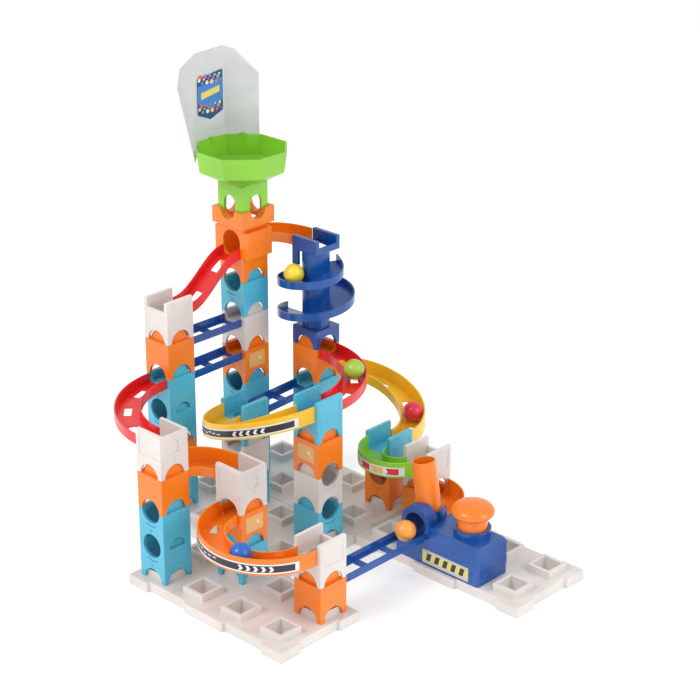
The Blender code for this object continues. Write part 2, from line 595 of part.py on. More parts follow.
def launcher():
    """Housing with two ball inlets, tilting barrel and palm button."""
    plan = [(LAUNCH_X0, LAUNCH_Y0), (LAUNCH_X1 - 3, LAUNCH_Y0), (LAUNCH_X1, LAUNCH_Y0 + 3),
            (LAUNCH_X1, LAUNCH_Y1 - 3), (LAUNCH_X1 - 3, LAUNCH_Y1), (LAUNCH_XN, LAUNCH_Y1),
            (LAUNCH_XN, LAUNCH_YN), (LAUNCH_X0, LAUNCH_YN)]
    body = prism("launcher_body", [(u, v, LAUNCH_Z0) for u, v in plan], (0, 0, LAUNCH_Z1 - LAUNCH_Z0), "blue")
    slope = [(LAUNCH_X1 + 5, LAUNCH_Y1 - 11, LAUNCH_Z1), (LAUNCH_X1 + 5, LAUNCH_Y1 + 5, LAUNCH_Z1 - 17),
             (LAUNCH_X1 + 5, LAUNCH_Y1 + 5, LAUNCH_Z1 + 5), (LAUNCH_X1 + 5, LAUNCH_Y1 - 11, LAUNCH_Z1 + 5)]
    combine(body, prism("cut", slope, (LAUNCH_XN + 8 - LAUNCH_X1 - 5, 0, 0)))
    nose = [(LAUNCH_X0 - 5, LAUNCH_Y0 - 5, 12), (LAUNCH_X0 + 10, LAUNCH_Y0 - 5, LAUNCH_Z1),
            (LAUNCH_X0 + 10, LAUNCH_Y0 - 5, LAUNCH_Z1 + 5), (LAUNCH_X0 - 5, LAUNCH_Y0 - 5, LAUNCH_Z1 + 5)]
    combine(body, prism("cut", nose, (0, LAUNCH_YN - LAUNCH_Y0 + 10, 0)))
    combine(body, rod((210, HOOD_Y, 57), (210, 266, 57), 23.5, 20), "UNION")
    combine(body, rod(barrel_axis(2), barrel_axis(20), 23, 20), "UNION")
    combine(body, rod((BUTTON_X, LAUNCH_Y, 50), (BUTTON_X, LAUNCH_Y, 66), 24.5, 24), "UNION")
    combine(body, rod((210, HOOD_Y - 6, INLET_Z), (210, 315, INLET_Z), 17, 16))
    combine(body, rod(barrel_axis(-8), barrel_axis(60), 19, 20))
    combine(body, rod((BUTTON_X, LAUNCH_Y, 12), (BUTTON_X, LAUNCH_Y, 70), 20.6, 24))
    for cell_x in (210, 280):
        combine(body, square(cell_x, LAUNCH_Y, 19.2, -5, 10.8))
    inner, outer = 14.8, 17.0
    tube = rod(barrel_axis(14), barrel_axis(86), outer, 20, 16.0, "orange", "launcher_barrel")
    combine(tube, rod(barrel_axis(5), barrel_axis(90), inner, 20, inner - 0.6))
    combine(tube, rod((BARREL_X, 240, INLET_Z - 1), (BARREL_X, 320, INLET_Z - 1), 15.2, 16))
    profile = [(0, 100.5), (16, 99), (24.5, 95.5), (28.3, 90), (28, 86), (25, 83), (20.5, 81), (19.8, 76),
               (19.2, 34), (0, 34)]
    lathe(BUTTON_X, LAUNCH_Y, profile, 20, "orange", "launcher_button")
    ORIGINS["launcher_button"] = Vector((BUTTON_X, LAUNCH_Y, LAUNCH_Z1))
    ORIGINS["launcher_barrel"] = barrel_axis(0)


def ball(name, place, colour):
    work = bmesh.new()
    bmesh.ops.create_uvsphere(work, u_segments=14, v_segments=9, radius=BALL_R, matrix=Matrix.Translation(place))
    finish(work, name, colour)
    ORIGINS[name] = Vector(place)


def arc_point(centre, radius, first, last, z0, z1, t, lift=BALL_LIFT):
    a = math.radians(first + (last - first) * t)
    length = abs(math.radians(last - first)) * radius
    slope = math.atan((z1 - z0) * 0.5 * math.pi * math.sin(math.pi * t) / length)
    z = z0 + (z1 - z0) * ease(t) + (BALL_R + lift) / math.cos(slope)
    return (centre[0] + radius * math.cos(a), centre[1] + radius * math.sin(a), z)


def balls():
    ball("ball_orange", (210, 229, LEVEL - FLOOR_DROP + BALL_R + BALL_LIFT), "orange")
    ball("ball_blue", arc_point((140, 47), 70, 180, 360, 88, 84.5, 0.6), "blue")
    ball("ball_red", arc_point((0, 373), 70, 180, 0, 138, 84.5, 0.76, 1.2), "red")
    ball("ball_green", arc_point((-47, 233), 117, 90, 0, 188, 184.5, 0.5), "ball_green")
    turned = 236.0
    a = math.radians(SPIRAL_START - turned)
    r = SPIRAL_OUT - 2 - BALL_R - 2.0
    z = SPIRAL_TOP - SPIRAL_PITCH * turned / 360 + 2 + BALL_R + 1.0
    ball("ball_yellow", (-PITCH + r * math.cos(a), 5 * PITCH + r * math.sin(a), z), "yellow")


def main():
    for thing in list(bpy.data.objects):
        bpy.data.objects.remove(thing)
    base_tiles()
    towers()
    tracks()
    corkscrew()
    splitter()
    hopper()
    backboard()
    launcher()
    balls()
    for thing in collection(PARTS).objects:
        origin = ORIGINS.get(thing.name, Vector((0, 0, 0)))
        thing.data.transform(Matrix.Scale(MM, 4) @ Matrix.Translation(-origin))
        thing.location = (origin + SHIFT) * MM
        thing.data.shade_smooth()
        thing.data.set_sharp_from_angle(angle=math.radians(35))


main()
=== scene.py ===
"""Marble run, looks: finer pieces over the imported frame, moulded plastic, stickers, light and camera.

Geometry helpers work in millimetres in the towers' own grid, and present() moves each finished
piece into the frame's metres, so it lands exactly on its CAD node.
"""

import math

import bmesh
import bpy
from mathutils import Matrix, Vector


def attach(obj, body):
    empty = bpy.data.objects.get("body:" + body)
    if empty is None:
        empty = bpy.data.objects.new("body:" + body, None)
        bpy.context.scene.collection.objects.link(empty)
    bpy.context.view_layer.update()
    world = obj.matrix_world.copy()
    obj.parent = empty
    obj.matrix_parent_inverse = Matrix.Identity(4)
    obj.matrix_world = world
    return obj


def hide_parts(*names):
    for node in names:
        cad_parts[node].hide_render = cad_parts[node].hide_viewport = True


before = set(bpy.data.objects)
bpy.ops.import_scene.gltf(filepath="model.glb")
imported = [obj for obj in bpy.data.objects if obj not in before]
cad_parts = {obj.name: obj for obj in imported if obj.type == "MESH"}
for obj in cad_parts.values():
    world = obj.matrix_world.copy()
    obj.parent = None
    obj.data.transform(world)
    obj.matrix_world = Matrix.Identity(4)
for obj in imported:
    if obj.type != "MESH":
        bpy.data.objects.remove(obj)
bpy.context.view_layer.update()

MM = 0.001
PITCH = 70.0            # grid cell
LEVEL = 50.0            # stacking height of one block
BLOCK = 46.0            # outside width of a block
WALL = 4.0
GAP = 0.3               # between stacked pieces
HALF = BLOCK / 2
INNER = HALF - WALL
MOUTH = 16.0            # half opening at the top of a block
HOLE_R = 16.5           # ball holes and foot arches
TONGUE_R = 15.5
TONGUE_OUT = 18.5
FLOOR_DROP = 12.0       # exit floor below the top of its block
FLOOR_T = 3.0

TILE_T = 14.0           # base tile thickness
SOCKET = 37.4
SOCKET_H = 10.0
SOCKET_HOLE = 27.0
TILE_GAP = 0.3
TAB_DEPTH = 5.0

TRACK_W = 35.0
TRACK_IN = 31.0
TRACK_FLOOR = 2.0
RAIL = 12.0
TALL_RAIL = 20.0
BEND_RAIL = 24.0
LOW_RAIL, LOW_SLOT = 9.0, 21.0      # the straight blue bridges
TRACK_GAP = 0.5

RECEIVER_H = 60.0
RECEIVER_FLOOR = 34.0
CHANNEL = 34.0
LIP = 46.0
TALL_LIP = 58.5

BALL_R = 14.0
BALL_LIFT = 0.6         # clearance that keeps each ball free of its track
RED_LIFT, YELLOW_LIFT = 1.2, 1.0
YELLOW_SIDE_GAP = 2.0
YELLOW_TURNED = 236.0   # degrees down the corkscrew
ARC_SEGMENTS = 16
MOON_SEGMENTS, MOON_HEIGHT = 24, 0.86       # half-moon openings, height over radius
SMILE_IN, SMILE_OUT = 20.5, 22.5            # moulded groove under a ball hole

SHIFT = Vector((-91.0, -210.0, TILE_T))     # puts the middle of the base at the origin

COLOURS = {
    "white": (0.74, 0.695, 0.66), "orange": (0.93, 0.215, 0.006), "sky": (0.085, 0.50, 0.70),
    "blue": (0.006, 0.078, 0.34), "red": (0.78, 0.015, 0.015), "yellow": (0.92, 0.55, 0.02),
    "green": (0.24, 0.60, 0.03),
    "ball_green": (0.35, 0.55, 0.05), "ball_orange": (0.93, 0.36, 0.05), "ball_blue": (0.01, 0.12, 0.55),
    "ball_red": (0.72, 0.02, 0.05), "ball_yellow": (0.85, 0.66, 0.03),
}
GLOSS = {"white": 0.34, "sky": 0.28, "blue": 0.24}      # roughness; the rest take 0.3

PIECES = []             # everything made for the object, in grid millimetres, with its node and look


def shader_of(name, roughness, coat=0.0):
    made = bpy.data.materials.new(name)
    made.use_nodes = True
    shader = made.node_tree.nodes["Principled BSDF"]
    shader.inputs["Roughness"].default_value = roughness
    shader.inputs["Coat Weight"].default_value = coat
    shader.inputs["Coat Roughness"].default_value = 0.12
    return made, shader


def noise(tree, scale, detail=3.0):
    where = tree.nodes.new("ShaderNodeTexCoord")
    made = tree.nodes.new("ShaderNodeTexNoise")
    made.inputs["Scale"].default_value = scale
    made.inputs["Detail"].default_value = detail
    tree.links.new(where.outputs["Object"], made.inputs["Vector"])
    return made


def ramp(tree, source, low, high, start=0.3, end=0.7):
    made = tree.nodes.new("ShaderNodeValToRGB")
    made.color_ramp.elements[0].position, made.color_ramp.elements[1].position = start, end
    made.color_ramp.elements[0].color, made.color_ramp.elements[1].color = low, high
    tree.links.new(source, made.inputs["Fac"])
    return made


def plastic(name):
    """Moulded plastic: slow colour drift, a fine skin texture, slightly uneven gloss."""
    found = bpy.data.materials.get("look_" + name)
    if found:
        return found
    colour = COLOURS[name]
    gloss = GLOSS.get(name, 0.3)
    made, shader = shader_of("look_" + name, gloss, 0.25)
    tree = made.node_tree
    drift = noise(tree, 14.0)
    low = (*[c * 0.9 for c in colour], 1.0)
    high = (*[min(1.0, c * 1.06) for c in colour], 1.0)
    tree.links.new(ramp(tree, drift.outputs["Fac"], low, high).outputs["Color"], shader.inputs["Base Color"])
    wear = noise(tree, 120.0, 4.0)
    rough = ramp(tree, wear.outputs["Fac"], (gloss * 0.85,) * 3 + (1,), (min(1, gloss * 1.25),) * 3 + (1,))
    tree.links.new(rough.outputs["Color"], shader.inputs["Roughness"])
    skin = noise(tree, 900.0, 2.0)
    bump = tree.nodes.new("ShaderNodeBump")
    bump.inputs["Strength"].default_value = 0.06
    bump.inputs["Distance"].default_value = 0.0004
    tree.links.new(skin.outputs["Fac"], bump.inputs["Height"])
    tree.links.new(bump.outputs["Normal"], shader.inputs["Normal"])
    shader.inputs["Subsurface Weight"].default_value = 0.04 if name in ("white", "ball_yellow") else 0.0
    shader.inputs["Subsurface Scale"].default_value = 0.004
    return made


def clear_plastic():
    """Smoke-tinted clear sheet with faint haze and scuffs."""
    made, shader = shader_of("look_clear", 0.14, 0.3)
    tree = made.node_tree
    haze = noise(tree, 30.0)
    tone = ramp(tree, haze.outputs["Fac"], (0.58, 0.59, 0.60, 1), (0.66, 0.67, 0.68, 1))
    tree.links.new(tone.outputs["Color"], shader.inputs["Base Color"])
    scuff = noise(tree, 260.0, 5.0)
    rough = ramp(tree, scuff.outputs["Fac"], (0.10, 0.10, 0.10, 1), (0.24, 0.24, 0.24, 1), 0.4, 0.75)
    tree.links.new(rough.outputs["Color"], shader.inputs["Roughness"])
    shader.inputs["Alpha"].default_value = 0.62
    return made


def printed(name, colour, roughness=0.4):
    """Sticker ink with a faint paper tooth; also used for the painted highlight, a pale glint drawn on the block
    stickers.
    """
    found = bpy.data.materials.get("ink_" + name)
    if found:
        return found
    made, shader = shader_of("ink_" + name, roughness, 0.15)
    tree = made.node_tree
    tooth = noise(tree, 500.0)
    low = (*[c * 0.88 for c in colour], 1.0)
    tree.links.new(ramp(tree, tooth.outputs["Fac"], low, (*colour, 1.0)).outputs["Color"],
                   shader.inputs["Base Color"])
    return made


def material(name):
    return clear_plastic() if name == "clear" else plastic(name)


def finish(work, name, colour=None):
    """Turns a bmesh into an object: a part with its colour, or a cutter with none."""
    bmesh.ops.recalc_face_normals(work, faces=work.faces)
    if work.calc_volume(signed=True) < 0:
        bmesh.ops.reverse_faces(work, faces=work.faces)
    mesh = bpy.data.meshes.new(name)
    work.to_mesh(mesh)
    work.free()
    thing = bpy.data.objects.new(name, mesh)
    bpy.context.scene.collection.objects.link(thing)
    if colour:
        mesh.materials.append(material(colour))
        PIECES.append(thing)
        thing["node"], thing["colour"] = name, colour
    return thing


def loft(name, loops, colour=None, closed=False):
    """Skins loops of equal length; capped at both ends unless the last joins the first."""
    work = bmesh.new()
    rows = [[work.verts.new(Vector(p)) for p in loop] for loop in loops]
    pairs = list(zip(rows, rows[1:])) + ([(rows[-1], rows[0])] if closed else [])
    for low, high in pairs:
        for k in range(len(low)):
            n = (k + 1) % len(low)
            work.faces.new((low[k], low[n], high[n], high[k]))
    if not closed:
        work.faces.new(rows[0][::-1])
        work.faces.new(rows[-1])
    return finish(work, name, colour)


def prism(name, outline, depth, colour=None):
    """A flat outline extruded along a vector."""
    work = bmesh.new()
    face = work.faces.new([work.verts.new(Vector(p)) for p in outline])
    grown = bmesh.ops.extrude_face_region(work, geom=[face], use_keep_orig=True)["geom"]
    moved = [v for v in grown if isinstance(v, bmesh.types.BMVert)]
    bmesh.ops.translate(work, vec=Vector(depth), verts=moved)
    return finish(work, name, colour)


def box(low, high, colour=None, name="cut"):
    low, high = Vector(low), Vector(high)
    size = high - low
    work = bmesh.new()
    place = Matrix.Translation((low + high) / 2) @ Matrix.Diagonal((*size, 1.0))
    bmesh.ops.create_cube(work, size=1.0, matrix=place)
    return finish(work, name, colour)


def square(x, y, half, z0, z1, colour=None, name="cut"):
    return box((x - half, y - half, z0), (x + half, y + half, z1), colour, name)


def rod(start, end, radius, segments=40, end_radius=None, colour=None, name="cut"):
    """A round bar between two points, with a flat side rather than an edge along its top."""
    start, end = Vector(start), Vector(end)
    axis = end - start
    turn = Matrix.Rotation(math.pi / segments, 4, "Z")
    place = Matrix.Translation((start + end) / 2) @ axis.to_track_quat("Z", "Y").to_matrix().to_4x4() @ turn
    work = bmesh.new()
    bmesh.ops.create_cone(work, cap_ends=True, segments=segments, radius1=radius,
                          radius2=end_radius or radius, depth=axis.length, matrix=place)
    return finish(work, name, colour)


def lathe(x, y, profile, segments, colour, name):
    """Turns a (radius, height) profile, given from the top down, about a vertical axis."""
    mesh = bpy.data.meshes.new(name)
    points = [(r, 0, z) for r, z in profile]
    mesh.from_pydata(points, [(k, k + 1) for k in range(len(points) - 1)], [])
    thing = bpy.data.objects.new(name, mesh)
    bpy.context.scene.collection.objects.link(thing)
    PIECES.append(thing)
    thing["node"], thing["colour"] = name, colour
    turn = thing.modifiers.new("turn", "SCREW")
    turn.steps = turn.render_steps = segments
    turn.use_merge_vertices = True
    turn.merge_threshold = 0.0001
    apply_modifiers(thing)
    thing.data.transform(Matrix.Translation((x, y, 0)))
    thing.data.materials.append(material(colour))
    return thing


def apply_modifiers(thing):
    graph = bpy.context.evaluated_depsgraph_get()
    graph.update()
    result = bpy.data.meshes.new_from_object(thing.evaluated_get(graph))
    thing.modifiers.clear()
    thing.data = result
    return result


def combine(thing, tool, operation="DIFFERENCE"):
    """Applies one exact boolean and removes the tool."""
    step = thing.modifiers.new("step", "BOOLEAN")
    step.operation = operation
    step.solver = "EXACT"
    step.object = tool
    colours = list(thing.data.materials)
    result = apply_modifiers(thing)
    result.materials.clear()
    for colour in colours:
        result.materials.append(colour)
    for face in result.polygons:
        face.material_index = 0
    bpy.data.objects.remove(tool)
    return thing


SIDES = {"-y": Vector((0, -1, 0)), "+y": Vector((0, 1, 0)), "+x": Vector((1, 0, 0)), "-x": Vector((-1, 0, 0))}


def drill(thing, centre, side, radius=HOLE_R, inside=8.0, segments=40):
    """A round hole from near the middle of a tower out through one side."""
    centre = Vector(centre)
    out = SIDES[side]
    combine(thing, rod(centre + out * inside, centre + out * (HALF + 12), radius, segments))


def foot_arches(thing, x, y, z):
    """Half-round openings in all four sides at the foot of a piece."""
    for along in (Vector((1, 0, 0)), Vector((0, 1, 0))):
        centre = Vector((x, y, z))
        combine(thing, rod(centre - along * (HALF + 9), centre + along * (HALF + 9), HOLE_R))


def tongue(thing, x, y, top, side):
    """Domed upstand that locates the next piece and closes its arch."""
    out = SIDES[side]
    across = Vector((-out.y, out.x, 0))
    outline = [(-TONGUE_R, -2.0), (TONGUE_R, -2.0)]
    for k in range(ARC_SEGMENTS + 1):
        a = math.pi * k / ARC_SEGMENTS
        outline.append((TONGUE_R * math.cos(a), TONGUE_R * math.sin(a)))
    centre = Vector((x, y, top))
    plate = [centre + out * (MOUTH - 0.01) + across * u + Vector((0, 0, v)) for u, v in outline]
    combine(thing, prism("cut", plate, out * (TONGUE_OUT - MOUTH + 0.01)), "UNION")


def smile(thing, x, y, z, side):
    """Thin curved groove and a dimple moulded under a ball hole."""
    out = SIDES[side]
    across = Vector((-out.y, out.x, 0))
    face = Vector((x, y, z)) + out * (HALF - 1.2)
    arc = [math.radians(-90 + 3 * k) for k in range(-9, 10)]
    outline = [(SMILE_IN * math.cos(a), SMILE_IN * math.sin(a)) for a in arc]
    outline += [(SMILE_OUT * math.cos(a), SMILE_OUT * math.sin(a)) for a in reversed(arc)]
    combine(thing, prism("cut", [face + across * u + Vector((0, 0, v)) for u, v in outline], out * 3))
    dimple = Vector((x, y, z - 29)) + out * (HALF - 0.8)
    combine(thing, rod(dimple, dimple + out * 3, 2.4, 24))


def window(thing, x, y, z, side):
    """Half-moon opening half way up a tall block, with a recessed domed plate behind it."""
    out = SIDES[side]
    combine(thing, moon(x, y, z, out, 13.0, INNER - 1, HALF + 4, 0.0))
    combine(thing, moon(x, y, z - 3, out, 12.6, INNER - 1.5, INNER + 0.8, -1.2), "UNION")


def moon(x, y, z, out, radius, near, far, drop):
    """Slightly flattened half-round prism, from near to far along a direction."""
    across = Vector((-out.y, out.x, 0))
    outline = [(-radius, drop - 1.0), (radius, drop - 1.0)]
    for k in range(MOON_SEGMENTS + 1):
        a = math.pi * k / MOON_SEGMENTS
        outline.append((radius * math.cos(a), radius * MOON_HEIGHT * math.sin(a)))
    base = Vector((x, y, z)) + out * near
    return prism("cut", [base + across * u + Vector((0, 0, v)) for u, v in outline], out * (far - near))


def block(name, cell, base, colour, tall=1, top=None, middle=(), floor=False):
    """One tower block.  top maps a side to 'hole' or 'tongue'; middle lists holes one level down."""
    x, y = cell[0] * PITCH, cell[1] * PITCH
    z0, z1 = base * LEVEL + GAP, (base + tall) * LEVEL
    thing = square(x, y, HALF, z0, z1, colour, name)
    combine(thing, square(x, y, INNER, z0 - 5, z1 - 6))
    combine(thing, square(x, y, MOUTH, z1 - 7, z1 + 5))
    foot_arches(thing, x, y, z0 - GAP)
    for level in range(1, tall):
        for side in middle:
            drill(thing, (x, y, (base + level) * LEVEL), side)
    for side, kind in (top or {}).items():
        if kind == "hole":
            drill(thing, (x, y, z1), side)
            smile(thing, x, y, z1, side)
        else:
            tongue(thing, x, y, z1, side)
    if tall > 1:
        for side in middle:
            smile(thing, x, y, z1 - LEVEL, side)
        window(thing, x, y, z1 - LEVEL, "+x")
    if floor:
        top_of_floor = z1 - FLOOR_DROP
        combine(thing, square(x, y, HALF - 1, top_of_floor - FLOOR_T, top_of_floor), "UNION")
    return thing


def receiver(name, cell, base, colour, along, closed=None, drop=True, lip=LIP):
    """Catch piece on top of a tower: open channel between two cheeks."""
    x, y = cell[0] * PITCH, cell[1] * PITCH
    z0 = base * LEVEL
    thing = square(x, y, HALF, z0 + GAP, z0 + RECEIVER_H, colour, name)
    combine(thing, square(x, y, INNER, z0 - 5, z0 + 20))
    foot_arches(thing, x, y, z0)
    reach = {"x": Vector((HALF + 5, CHANNEL / 2, 0)), "y": Vector((CHANNEL / 2, HALF + 5, 0))}[along]
    low, high = Vector((x, y, z0 + RECEIVER_FLOOR)) - reach, Vector((x, y, z0 + RECEIVER_H + 5)) + reach
    if closed:
        axis = 0 if along == "x" else 1
        stop = (x, y)[axis] + SIDES[closed][axis] * (HALF - WALL)
        if SIDES[closed][axis] > 0:
            high[axis] = stop
        else:
            low[axis] = stop
    combine(thing, box(low, high))
    if closed:
        out = SIDES[closed]
        across = Vector((abs(out.y), abs(out.x), 0)) * (CHANNEL / 2)
        inner, outer = Vector((x, y, 0)) + out * (INNER - 2), Vector((x, y, 0)) + out * (HALF + 5)
        corners = [inner - across, inner + across, outer - across, outer + across]
        xs, ys = [c.x for c in corners], [c.y for c in corners]
        combine(thing, box((min(xs), min(ys), z0 + lip), (max(xs), max(ys), z0 + RECEIVER_H + 5)))
    if drop:
        combine(thing, rod((x, y, z0 + 10), (x, y, z0 + RECEIVER_FLOOR + 5), 15.5, 40))
    cheeks = ("-y", "+y") if along == "x" else ("-x", "+x")
    if lip > LIP:
        ring = Vector((x + HALF - 1.0, y - 2, z0 + 42))
        combine(thing, rod(ring, ring + Vector((5, 0, 0)), 9.5, 40))
        smile(thing, x, y, z0 + 54, "+x")
    for side in cheeks:
        out = SIDES[side]
        across = Vector((abs(out.y), abs(out.x), 0))
        face = Vector((x, y, 0)) + out * (HALF - 0.8)
        low = face - across * 17.5 + Vector((0, 0, z0 + 27))
        high = face + across * 17.5 + out * 4 + Vector((0, 0, z0 + RECEIVER_H - 5))
        combine(thing, box([min(a, b) for a, b in zip(low, high)], [max(a, b) for a, b in zip(low, high)]))
        start = face - across * (HALF + 2)
        step = [start + out * w + Vector((0, 0, z0 + RECEIVER_H + v))
                for w, v in ((-1.4, 1), (2, 1), (2, -3.2))]
        combine(thing, prism("cut", step, across * (BLOCK + 4)))
    return thing


def section(inner_rail, outer_rail):
    """Track section, (sideways, up) from the rolling surface; sideways is away from the curve's centre."""
    w, n, t = TRACK_W / 2, TRACK_IN / 2, TRACK_FLOOR
    outer_side = [(w, -t), (w, outer_rail), (n, outer_rail), (n, 0)]
    inner_side = [(-n, 0), (-n, inner_rail), (-w, inner_rail)]
    return [(-w, -t)] + outer_side + inner_side


def sweep(name, stations, shape, colour):
    """Stations are (point, outward direction) pairs."""
    loops = [[point + out * u + Vector((0, 0, v)) for u, v in shape] for point, out in stations]
    return loft(name, loops, colour)


def ease(t):
    return 0.5 - 0.5 * math.cos(math.pi * t)


def arc_track(name, centre, radius, first, last, z0, z1, colour, segments, outer=RAIL, slots=()):
    """Track on a circular plan; it leaves and arrives level."""
    cx, cy = centre
    sign = 1 if last > first else -1
    a0 = math.radians(first) + sign * TRACK_GAP / radius
    a1 = math.radians(last) - sign * TRACK_GAP / radius
    stations = []
    segments *= 4
    for k in range(segments + 1):
        t = k / segments
        a = a0 + (a1 - a0) * t
        out = Vector((math.cos(a), math.sin(a), 0))
        stations.append((Vector((cx, cy, z0 + (z1 - z0) * ease(t))) + out * radius, out))
    thing = sweep(name, stations, section(RAIL, outer), colour)
    for at, length, offset in slots:
        a = a0 + (a1 - a0) * at
        out = Vector((math.cos(a), math.sin(a), 0))
        along = Vector((-out.y, out.x, 0))
        mid = Vector((cx, cy, z0 + (z1 - z0) * ease(at))) + out * (radius + offset)
        slot(thing, mid, along, out, length)
    return thing


def slot(thing, mid, along, out, length, width=10.0):
    """An open window in a track floor."""
    a, b = along * (length / 2), out * (width / 2)
    low = [mid + corner + Vector((0, 0, -9)) for corner in (-a - b, a - b, a + b, b - a)]
    combine(thing, prism("cut", low, (0, 0, 14)))


def straight_track(name, start, end, colour, segments=1, slots=(), rail=RAIL, slot_width=15.0):
    """Track between two points given at the rolling surface, along Y."""
    start, end = Vector(start), Vector(end)
    direction = 1 if end.y > start.y else -1
    start.y += direction * TRACK_GAP
    end.y -= direction * TRACK_GAP
    stations = []
    for k in range(segments + 1):
        t = k / segments
        point = start.lerp(end, t)
        point.z = start.z + (end.z - start.z) * (ease(t) if segments > 1 else t)
        stations.append((point, Vector((1, 0, 0))))
    thing = sweep(name, stations, section(rail, rail), colour)
    for at, length in slots:
        mid = start.lerp(end, at)
        mid.z = start.z + (end.z - start.z) * (ease(at) if segments > 1 else at)
        slot(thing, mid, Vector((0, 1, 0)), Vector((1, 0, 0)), length, slot_width)
    return thing


def tile(name, first, columns, rows):
    """Base tile with a raised, pierced socket in every cell and tabbed edges."""
    x0, y0 = (first[0] - 0.5) * PITCH + TILE_GAP, (first[1] - 0.5) * PITCH + TILE_GAP
    x1 = (first[0] + columns - 0.5) * PITCH - TILE_GAP
    y1 = (first[1] + rows - 0.5) * PITCH - TILE_GAP
    thing = box((x0, y0, -TILE_T), (x1, y1, 0), "white", name)
    for k in range(columns // 2):
        mid = (first[0] + 0.5 + 2 * k) * PITCH
        for y, sign in ((y0, 1), (y1, -1)):
            combine(thing, box((mid - PITCH / 2, min(y - 5 * sign, y + TAB_DEPTH * sign), -TILE_T - 1),
                               (mid + PITCH / 2, max(y - 5 * sign, y + TAB_DEPTH * sign), 1)))
    for k in range(rows // 2):
        mid = (first[1] + 0.5 + 2 * k) * PITCH
        for x, sign in ((x0, 1), (x1, -1)):
            combine(thing, box((min(x - 5 * sign, x + TAB_DEPTH * sign), mid - PITCH / 2, -TILE_T - 1),
                               (max(x - 5 * sign, x + TAB_DEPTH * sign), mid + PITCH / 2, 1)))
    for i in range(columns):
        for j in range(rows):
            x, y = (first[0] + i) * PITCH, (first[1] + j) * PITCH
            combine(thing, square(x, y, SOCKET / 2, -1, SOCKET_H), "UNION")
            combine(thing, square(x, y, SOCKET_HOLE / 2, -TILE_T - 1, SOCKET_H + 1))
    return thing


def base_tiles():
    tile("tile_front", (0, 0), 4, 2)
    tile("tile_middle", (-2, 2), 4, 2)
    tile("tile_back", (-2, 4), 4, 2)
    tile("tile_right", (2, 4), 4, 2)


def towers():
    t, h = "tongue", "hole"
    block("tower_a_tall", (0, 0), 0, "sky", 2, {"-y": h, "+x": t}, ("-y",))
    block("tower_a_exit", (0, 0), 2, "orange", 1, {"-y": t, "+x": t, "+y": h}, floor=True)
    receiver("catch_a", (0, 0), 3, "white", "x", "+x", lip=TALL_LIP)
    block("tower_e_low", (1, 1), 0, "sky", 1, {"-y": t, "+x": t})
    block("tower_e_exit", (1, 1), 1, "orange", 1, {"-y": h, "+x": t}, floor=True)
    receiver("catch_e", (1, 1), 2, "white", "x", "+x", lip=TALL_LIP)
    block("tower_f_exit", (3, 1), 0, "orange", 1, {"-y": t, "+x": t, "+y": h}, floor=True)
    receiver("catch_f", (3, 1), 1, "white", "y", "+y")
    block("tower_b_low", (-2, 2), 0, "sky", 1, {"-y": t, "+x": t})
    block("tower_b_second", (-2, 2), 1, "orange", 1, {"-y": t, "+x": t})
    block("tower_b_tall", (-2, 2), 2, "sky", 2, {"-y": h, "+x": t, "+y": h}, ("-y",), floor=True)
    block("tower_b_exit", (-2, 2), 4, "orange", 1, {"-y": t, "+x": t, "+y": h}, floor=True)
    receiver("catch_b", (-2, 2), 5, "white", "y", "-y")
    block("tower_c_low", (-1, 3), 0, "sky", 1, {"-y": t, "+x": t})
    block("tower_c_exit", (-1, 3), 1, "white", 1, {"-y": h, "+x": t}, floor=True)
    receiver("catch_c", (-1, 3), 2, "sky", "y")
    block("tower_d_low", (1, 3), 0, "sky", 1, {"-y": t, "+x": h})
    block("tower_d_second", (1, 3), 1, "white", 1, {"-y": t, "+x": h})
    block("tower_d_third", (1, 3), 2, "orange", 1, {"-y": t, "+x": t})
    receiver("catch_d", (1, 3), 3, "sky", "y", drop=False)
    block("hopper_tower_low", (-2, 4), 0, "sky", 3, {"-y": h, "+x": t})
    block("hopper_tower_orange", (-2, 4), 3, "orange", 1, {"-y": h, "+x": t}, floor=True)
    block("hopper_tower_white", (-2, 4), 4, "white", 1, {"-y": h, "+x": t}, floor=True)
    block("hopper_tower_blue", (-2, 4), 5, "sky", 1, {"-y": h, "+x": t})
    block("spiral_tower_low", (-1, 5), 0, "sky", 3, {"-y": h, "+y": h, "+x": t}, floor=True)
    block("spiral_tower_exit", (-1, 5), 3, "orange", 1, {"-y": t, "+x": h}, floor=True)
    block("tower_g_low", (1, 5), 0, "orange", 1, {"-y": h, "+x": t})
    receiver("catch_g", (1, 5), 1, "sky", "y", drop=False)
    block("tower_h_exit", (2, 5), 0, "orange", 1, {"-y": t, "+x": h}, floor=True)
    receiver("catch_h", (2, 5), 1, "white", "y", "+y")


def leave(level):
    """Rolling height where a track starts: the exit floor below the top of a block."""
    return level * LEVEL - FLOOR_DROP


def land(base):
    """Rolling height where a track ends: just above a catch piece's channel floor."""
    return base * LEVEL + RECEIVER_FLOOR + 0.5


# Curved runs as (centre, radius, first bearing, last bearing, start height, end height).
ORANGE_TURN = ((140, 47), PITCH, 180, 360, leave(2), land(1))
YELLOW_FRONT_TURN = ((0, 187), PITCH, 0, -180, land(3), land(2))
YELLOW_BACK_TURN = ((0, 373), PITCH, 180, 0, leave(3), land(1))
GREEN_TURN = ((105, 327), PITCH / 2, 180, 360, land(1), land(1))
RED_BACK_CURVE = ((-47, 233), 2 * PITCH - HALF, 90, 0, leave(4), land(3))


